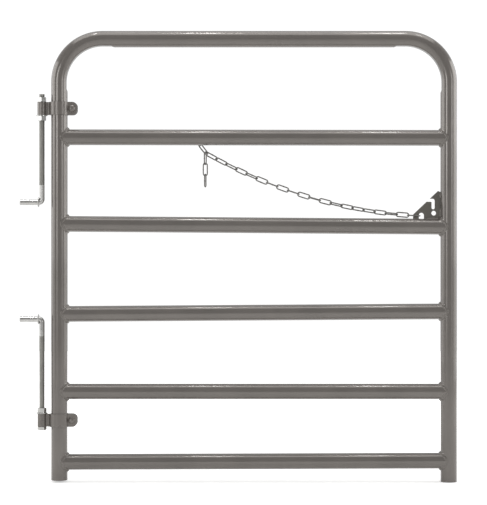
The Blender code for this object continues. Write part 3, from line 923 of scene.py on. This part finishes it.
# Straps: flat bar round the upright, rolled into a barrel round the rod, with clamped ears
strap = {
    "thickness": 0.0048,
    "earGap": 0.0170,
    "earRound": 0.014,
    "earFillet": 0.0034,
    "neckFillet": 0.0060,
    "barrelFillet": 0.0050,
    "barrelPlay": 0.0006,
    "edgeSoftening": 0.0006,
    "filletSteps": 8,
    "bandSteps": 40,
    "barrelSteps": 24,
    "earSteps": 10,
}


# Centre of the fillet between a line along X and a circle on the X axis
def filletCentre(lineY, fillet, circleX, circleRadius, side):
    y = lineY + fillet
    return (circleX + side * math.sqrt((circleRadius + fillet) ** 2 - y * y), y)


# Middle line of the bar seen from above, from one ear's tip at x = tip round to the other's
def strapPath(tip):
    t = strap["thickness"]
    band = tubeRadius + seatGap + t / 2
    barrel = hingeBolt["diameter"] / 2 + strap["barrelPlay"] + t / 2
    neckLine = (t + seatGap) / 2
    earLine = (strap["earGap"] + t) / 2
    ear = filletCentre(earLine, strap["earFillet"], leftX, band, 1)
    neck = filletCentre(neckLine, strap["neckFillet"], leftX, band, -1)
    roll = filletCentre(neckLine, strap["barrelFillet"], hingeX, barrel, 1)
    earTurn = math.degrees(math.atan2(ear[1], ear[0] - leftX))
    neckTurn = math.degrees(math.atan2(neck[1], neck[0] - leftX))
    rollTurn = math.degrees(math.atan2(roll[1], roll[0] - hingeX))
    steps = strap["filletSteps"]
    rounding = [math.radians(90 * i / strap["earSteps"]) for i in range(strap["earSteps"] + 1)]
    half = [(tip - strap["earRound"] * (1 - math.cos(turn)), earLine) for turn in rounding]
    half += arcPoints(ear, strap["earFillet"], 270, 180 + earTurn, steps)
    half += arcPoints((leftX, 0), band, earTurn, neckTurn, strap["bandSteps"])[1:]
    half += arcPoints(neck, strap["neckFillet"], neckTurn - 180, -90, steps)[1:]
    half += arcPoints(roll, strap["barrelFillet"], 270, 180 + rollTurn, steps)
    half += arcPoints((hingeX, 0), barrel, rollTurn, 180, strap["barrelSteps"])[1:]
    return half + [(x, -y) for x, y in reversed(half[:-1])]


# A strap on its upright, returning the height of its middle
def makeStrap(which):
    node = f"{which}_hinge_strap"
    low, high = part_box(node)
    middle = (low.z + high.z) / 2
    tall = (high.z - low.z) / 2
    bm = bmesh.new()
    columns = []
    corner = strap["earRound"]
    for x, y in strapPath(high.x):
        inset = max(corner - (high.x - x), 0)
        half = tall - corner + math.sqrt(corner**2 - inset**2)
        columns.append([bm.verts.new((x, y, middle - half)), bm.verts.new((x, y, middle + half))])
    for one, two in zip(columns, columns[1:]):
        bm.faces.new((one[0], two[0], two[1], one[1]))
    mesh = bpy.data.meshes.new(node)
    bm.to_mesh(mesh)
    bm.free()
    piece = addPiece(f"{node}_finish", mesh, "gatePaint", leafBody, [node], smooth=60)
    wall = piece.modifiers.new("bar", "SOLIDIFY")
    wall.thickness = strap["thickness"]
    wall.offset = 0
    wall.use_even_offset = True
    addBevel(piece, strap["edgeSoftening"], angle=50)
    return middle


# Clamp bolts: round head in front, nut and thread at the back
clamp = {
    "diameter": 0.0095,
    "headDiameter": 0.0206,
    "headHeight": 0.0052,
    "undersideShare": 0.985,
    "headSides": 48,
    "domeSteps": 14,
    "domeStart": 1.5,
    "nutFlats": 0.0143,
    "nutTurn": 30,
    "inset": 0.0128,
    "threadStart": 0.009,
}


def makeClamp(which, height):
    node = f"{which}_clamp_bolt"
    nutNode = f"{which}_clamp_nut"
    low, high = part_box(node)
    nutLow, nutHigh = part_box(nutNode)
    x = leftX + tubeRadius + clamp["inset"]
    head = clamp["headDiameter"] / 2
    face = -low.y - clamp["headHeight"]
    dome = (head**2 + clamp["headHeight"] ** 2) / (2 * clamp["headHeight"])
    edge = math.degrees(math.asin(head / dome))
    arc = arcPoints((-low.y - dome, 0), dome, clamp["domeStart"], edge, clamp["domeSteps"])
    cap = [(y, z) for z, y in arc]
    shank = clamp["diameter"] / 2
    start = clamp["threadStart"]
    under = head * clamp["undersideShare"]
    profile = cap + [(under, face), (shank, face), (shank, start)]
    bolt = turned(node, profile, clamp["headSides"])
    thread = threadedBar(node, -high.y, start, shank, "clamp")
    mesh = joined(node, [bolt, thread])
    toFront = Matrix.Rotation(math.radians(90), 4, "X")
    mesh.transform(Matrix.Translation((x, 0, height)) @ toFront)
    addPiece(f"{node}_finish", mesh, "gatePaint", leafBody, [node], smooth=45)
    turn = math.radians(clamp["nutTurn"])
    nut = hexNut(nutNode, clamp["nutFlats"], nutHigh.y - nutLow.y, shank + seatGap, turn)
    nut.transform(Matrix.Translation((x, nutHigh.y, height)) @ toFront)
    addPiece(f"{nutNode}_finish", nut, "gatePaint", leafBody, [nutNode], smooth=30)


for hingeName in ("upper", "lower"):
    strapMiddle = makeStrap(hingeName)
    makeClamp(hingeName, strapMiddle)
print("straps made")


# Copy of a node's own shape, its flat faces made whole
def nodeShape(node):
    samePlace = 0.00001
    flat = math.radians(0.5)
    bm = bmesh.new()
    bm.from_mesh(frame["nodes"][node].data)
    bmesh.ops.remove_doubles(bm, verts=bm.verts, dist=samePlace)
    bmesh.ops.dissolve_limit(bm, angle_limit=flat, verts=bm.verts, edges=bm.edges)
    mesh = bpy.data.meshes.new(node)
    bm.to_mesh(mesh)
    bm.free()
    return mesh


# Latch plate: sheared plate with softened edges, stitched to rail and upright on both faces.
# The ends of its four welds are measured from the upright, the toe, the rail and the top edge
latchPlate = {
    "edgeSoftening": 0.0003,
    "weldWidth": 0.0035,
    "weldHeight": 0.0030,
    "heelWeld": (-0.040, -0.004),
    "toeWeld": (0.001, 0.013),
    "lowerEdgeWeld": (0.004, 0.030),
    "upperEdgeWeld": (-0.022, -0.006),
}


def stitch(name, start, end, out, seed):
    along = end - start
    count = int(along.length / weld["ripplePitch"] * weld["ringsPerRipple"])
    size = (latchPlate["weldWidth"], latchPlate["weldHeight"])
    way = along.normalized()
    stations = [(start.lerp(end, i / count), way, out, *size) for i in range(count + 1)]
    return weldBead(name, stations, False, seed * weld["seedPerMetre"])


def makeLatchPlate():
    node = "latch_plate"
    plate = nodeShape(node)
    piece = addPiece("latch_plate_finish", plate, "plateShadedPaint", leafBody, [node], smooth=35)
    addBevel(piece, latchPlate["edgeSoftening"], angle=40)
    low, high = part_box(node)
    bottom = railHeight(2, high.x) + railRadius
    feet = ((high.x, latchPlate["heelWeld"]), (low.x, latchPlate["toeWeld"]))
    edges = ((bottom, latchPlate["lowerEdgeWeld"]), (high.z, latchPlate["upperEdgeWeld"]))
    meshes = []
    for face in (-1, 1):
        y = high.y * face
        rise = math.sqrt(railRadius**2 - y * y)
        out = Vector((0, face, 1)).normalized()
        for origin, reaches in feet:
            places = [origin + reach for reach in reaches]
            start, end = (Vector((x, y, railHeight(2, x) + rise)) for x in places)
            meshes.append(stitch("foot", start, end, out, places[0]))
        out = Vector((-1, face, 0)).normalized()
        for origin, reaches in edges:
            places = [origin + reach for reach in reaches]
            start, end = (Vector((high.x, y, z)) for z in places)
            meshes.append(stitch("edge", start, end, out, places[0]))
    welds = joined("latch_plate_weld", meshes)
    addPiece("latch_plate_weld", welds, "gatePaint", leafBody, smooth=60)


makeLatchPlate()
print("latch plate made")

# Chain: each link lies where its node lies, with a small flash from its butt weld
chain = {
    "wire": 0.0038,
    "sides": 14,
    "crownSteps": 12,
    "sideSteps": 8,
    "flash": 0.00035,
    "flashReach": 0.0022,
    "runLinks": 21,
    "tailLinks": 3,
    # Links that lie a little turned about their own length, in degrees
    "rolls": {"chain_link_06": -14.0, "tail_link_1": 7.0},
}


# Centre of a link, its ways along, across and through, and half its length and width
def linkPlace(node):
    points = np.array([tuple(p) for p in nodePoints(node)])
    centre = points.mean(0)
    axes = np.linalg.svd(points - centre, full_matrices=False)[2]
    reach = np.abs((points - centre) @ axes.T).max(0)
    along, across = Vector(axes[0]), Vector(axes[1])
    return Vector(centre), along, across, along.cross(across), reach[0], reach[1]


def makeLink(node, weldSide):
    centre, along, across, through, halfLength, halfWidth = linkPlace(node)
    roll = math.radians(chain["rolls"].get(node, 0.0))
    across = across * math.cos(roll) + through * math.sin(roll)
    wire = chain["wire"] / 2
    crown = halfWidth - wire
    offset = halfLength - wire - crown
    path = arcPoints((offset, 0), crown, -90, 90, chain["crownSteps"])
    steps = chain["sideSteps"]
    path += [(offset - 2 * offset * i / steps, crown) for i in range(1, steps)]
    path += arcPoints((-offset, 0), crown, 90, 270, chain["crownSteps"])
    path += [(-offset + 2 * offset * i / steps, -crown) for i in range(1, steps)]
    radii = []
    for x, y in path:
        onSide = math.isclose(y, weldSide * crown)
        swell = math.exp(-((x / chain["flashReach"]) ** 2)) if onSide else 0.0
        radii.append(wire + chain["flash"] * swell)
    places = [centre + along * x + across * y for x, y in path]
    mesh = roundBar(node, places, radii, chain["sides"], closed=True)
    addPiece(f"{node}_finish", mesh, "chainSteel", leafBody, [node], smooth=60)


# Staple behind the lower edge of the top rail, its feet let into two round welds
staple = {
    "lean": 47.0,
    "sides": 16,
    "crownSteps": 20,
    "weldSteps": 32,
    "weldSize": 0.0016,
    "weldSink": 0.0004,
    "weldClear": 0.0002,
}


def makeStaple():
    points = nodePoints("chain_staple")
    lean = math.radians(staple["lean"])
    out = Vector((0, math.sin(lean), -math.cos(lean)))
    centre, _, _, through, _, _ = linkPlace("chain_staple")
    side = through.cross(out).normalized()
    root = Vector((centre.x, 0, railHeight(1, centre.x)))
    wire = chain["wire"] / 2
    tallest = max((p - root).dot(out) for p in points) - wire
    crown = max(abs((p - centre).dot(side)) for p in points) - wire
    arc = arcPoints((0, 0), crown, 0, 180, staple["crownSteps"])
    path = [root + out * (railRadius - wire) + side * crown]
    path += [root + out * (tallest - crown + b) + side * a for a, b in arc]
    path += [root + out * (railRadius - wire) - side * crown]
    bar = roundBar("chain_staple", path, wire, staple["sides"])
    size = staple["weldSize"]
    blobs = []
    for sign in (1, -1):
        foot = root + out * (railRadius - staple["weldSink"]) + side * crown * sign
        stations = []
        for turn in circleTurns(staple["weldSteps"]):
            around = (side * math.cos(turn) + through * math.sin(turn)).normalized()
            tangent = (through * math.cos(turn) - side * math.sin(turn)).normalized()
            place = foot + around * (wire + staple["weldClear"])
            stations.append((place, tangent, (around + out).normalized(), size, size))
        blobs.append(weldBead("foot", stations, True, sign))
    addPiece("chain_staple_finish", bar, "chainSteel", leafBody, ["chain_staple"], smooth=60)
    welds = joined("chain_staple_weld", blobs)
    addPiece("chain_staple_weld", welds, "gatePaint", leafBody, smooth=60)


# The flash lies on one side of each odd link and on the other side of each even one
for linkNumber in range(1, chain["runLinks"] + 1):
    makeLink(f"chain_link_{linkNumber:02d}", 1 if linkNumber % 2 else -1)
for linkNumber in range(1, chain["tailLinks"] + 1):
    makeLink(f"tail_link_{linkNumber}", 1 if linkNumber % 2 else -1)
makeStaple()
print("chain made")

# Stage: pale floor, white surroundings and soft studio light. Only the camera sees
# floorSeenGlow, which grows outwards from the gate over floorFade
studio = {
    "floorSize": 14.0,
    "floorDrop": 0.0005,
    "floorColour": (0.86, 0.86, 0.85),
    "floorRoughness": 0.9,
    "floorGlow": 0.19,
    "floorFade": (0.7, 2.4),
    "floorSeenGlow": (0.27, 0.90),
    "seenLight": 1.05,
    "frontAndBackLight": (0.52, 0.75),
    "frontToBack": (-0.25, 0.35),
}
softBoxes = {
    "above_front": {
        "size": (3.6, 1.0),
        "place": (0.6, -0.6, 2.2),
        "aim": (0.6, 0.0, 0.2),
        "glow": 1.32,
    },
    "above": {
        "size": (3.6, 1.0),
        "place": (0.6, 0.4, 2.2),
        "aim": (0.6, 0.39, 0.2),
        "glow": 1.0,
    },
}
# Side panels, each in three heights with its own glow, dimmer towards the floor
panelHeights = (-0.75, -0.20, 0.35, 2.00)
panelAimX = 0.6
sidePanels = {
    "left_front": {"place": (-3.3, -6.4), "aimY": 0.0, "wide": 2.2, "glows": (0.68, 1.6, 2.8)},
    "right_front": {"place": (6.2, -6.0), "aimY": 0.0, "wide": 2.0, "glows": (0.6, 1.2, 2.1)},
    "left_side": {"place": (-3.0, -0.55), "aimY": -0.55, "wide": 2.1, "glows": (0.65, 1.3, 1.75)},
    "left_back": {"place": (-3.0, 1.7), "aimY": 1.7, "wide": 2.2, "glows": (0.8, 1.1, 1.3)},
    "right_side": {"place": (4.2, -0.45), "aimY": -0.45, "wide": 1.9, "glows": (0.9, 1.6, 2.2)},
    "right_back": {"place": (4.2, 1.7), "aimY": 1.7, "wide": 2.2, "glows": (0.9, 1.3, 1.6)},
}
# Row of small lamps above, which leave the short bright streaks along the tubes
lampRow = {
    "places": (-0.40, 0.42, 1.24, 2.06),
    "forward": 0.30,
    "height": 3.15,
    "size": 0.17,
    "glow": 34.0,
}


def makeFloor():
    half = studio["floorSize"] / 2
    mesh = bpy.data.meshes.new("floor")
    low = min(leftFoot, rightFoot) - studio["floorDrop"]
    centre = Vector(((leftX + rightX) / 2, 0, low))
    corners = [(-half, -half), (half, -half), (half, half), (-half, half)]
    mesh.from_pydata([centre + Vector((x, y, 0)) for x, y in corners], [], [(0, 1, 2, 3)])
    material = bpy.data.materials.new("floor")
    material.use_nodes = True
    shader = material.node_tree.nodes["Principled BSDF"]
    shader.inputs["Base Color"].default_value = (*studio["floorColour"], 1)
    shader.inputs["Roughness"].default_value = studio["floorRoughness"]
    shader.inputs["Specular IOR Level"].default_value = 0.0
    shader.inputs["Emission Color"].default_value = (1, 1, 1, 1)
    tree = material.node_tree
    away = tree.nodes.new("ShaderNodeVectorMath")
    away.operation = "DISTANCE"
    away.inputs[1].default_value = centre
    tree.links.new(tree.nodes.new("ShaderNodeNewGeometry").outputs["Position"], away.inputs[0])
    fade = mapRange(tree, away.outputs["Value"], studio["floorFade"], studio["floorSeenGlow"])
    seen = tree.nodes.new("ShaderNodeLightPath").outputs["Is Camera Ray"]
    seenGlow = mathNode(tree, "MULTIPLY", seen, fade)
    glow = mathNode(tree, "ADD", seenGlow, studio["floorGlow"])
    tree.links.new(glow, shader.inputs["Emission Strength"])
    mesh.materials.append(material)
    floor = bpy.data.objects.new("floor", mesh)
    bpy.context.scene.collection.objects.link(floor)


# Surroundings: white to the camera, and in reflections light behind the leaf, dim in front
def makeWorld():
    world = bpy.data.worlds.new("studio")
    world.use_nodes = True
    tree = world.node_tree
    tree.nodes.clear()
    output = tree.nodes.new("ShaderNodeOutputWorld")
    seen = tree.nodes.new("ShaderNodeBackground")
    seen.inputs["Color"].default_value = (1, 1, 1, 1)
    seen.inputs["Strength"].default_value = studio["seenLight"]
    around = tree.nodes.new("ShaderNodeBackground")
    facing = tree.nodes.new("ShaderNodeTexCoord")
    split = tree.nodes.new("ShaderNodeSeparateXYZ")
    tree.links.new(facing.outputs["Generated"], split.inputs[0])
    toBack, light = studio["frontToBack"], studio["frontAndBackLight"]
    tree.links.new(mapRange(tree, split.outputs[1], toBack, light), around.inputs["Strength"])
    eye = tree.nodes.new("ShaderNodeLightPath")
    mix = tree.nodes.new("ShaderNodeMixShader")
    tree.links.new(eye.outputs["Is Camera Ray"], mix.inputs[0])
    tree.links.new(around.outputs[0], mix.inputs[1])
    tree.links.new(seen.outputs[0], mix.inputs[2])
    tree.links.new(mix.outputs[0], output.inputs[0])
    bpy.context.scene.world = world


def makeSoftBox(name, size, place, aim, glow):
    data = bpy.data.lights.new(name, "AREA")
    data.shape = "RECTANGLE"
    data.size, data.size_y = size
    data.energy = math.pi * data.size * data.size_y * glow
    lamp = bpy.data.objects.new(name, data)
    lamp.location = place
    look = Vector(aim) - Vector(place)
    lamp.rotation_euler = look.to_track_quat("-Z", "Y").to_euler()
    bpy.context.scene.collection.objects.link(lamp)


def makeLights():
    for name, box in softBoxes.items():
        makeSoftBox(name, **box)
    for name, panel in sidePanels.items():
        steps = zip(panelHeights, panelHeights[1:], panel["glows"])
        for number, (bottom, top, glow) in enumerate(steps, 1):
            middle = (bottom + top) / 2
            size = (panel["wide"], top - bottom)
            place = (*panel["place"], middle)
            aim = (panelAimX, panel["aimY"], middle)
            makeSoftBox(f"{name}_{number}", size, place, aim, glow)
    size = (lampRow["size"], lampRow["size"])
    for number, x in enumerate(lampRow["places"], 1):
        place = (x, -lampRow["forward"], lampRow["height"])
        makeSoftBox(f"row_lamp_{number}", size, place, (x, 0.0, 0.0), lampRow["glow"])


makeFloor()
makeWorld()
makeLights()
bpy.context.scene.view_settings.view_transform = "Standard"
print("stage made")
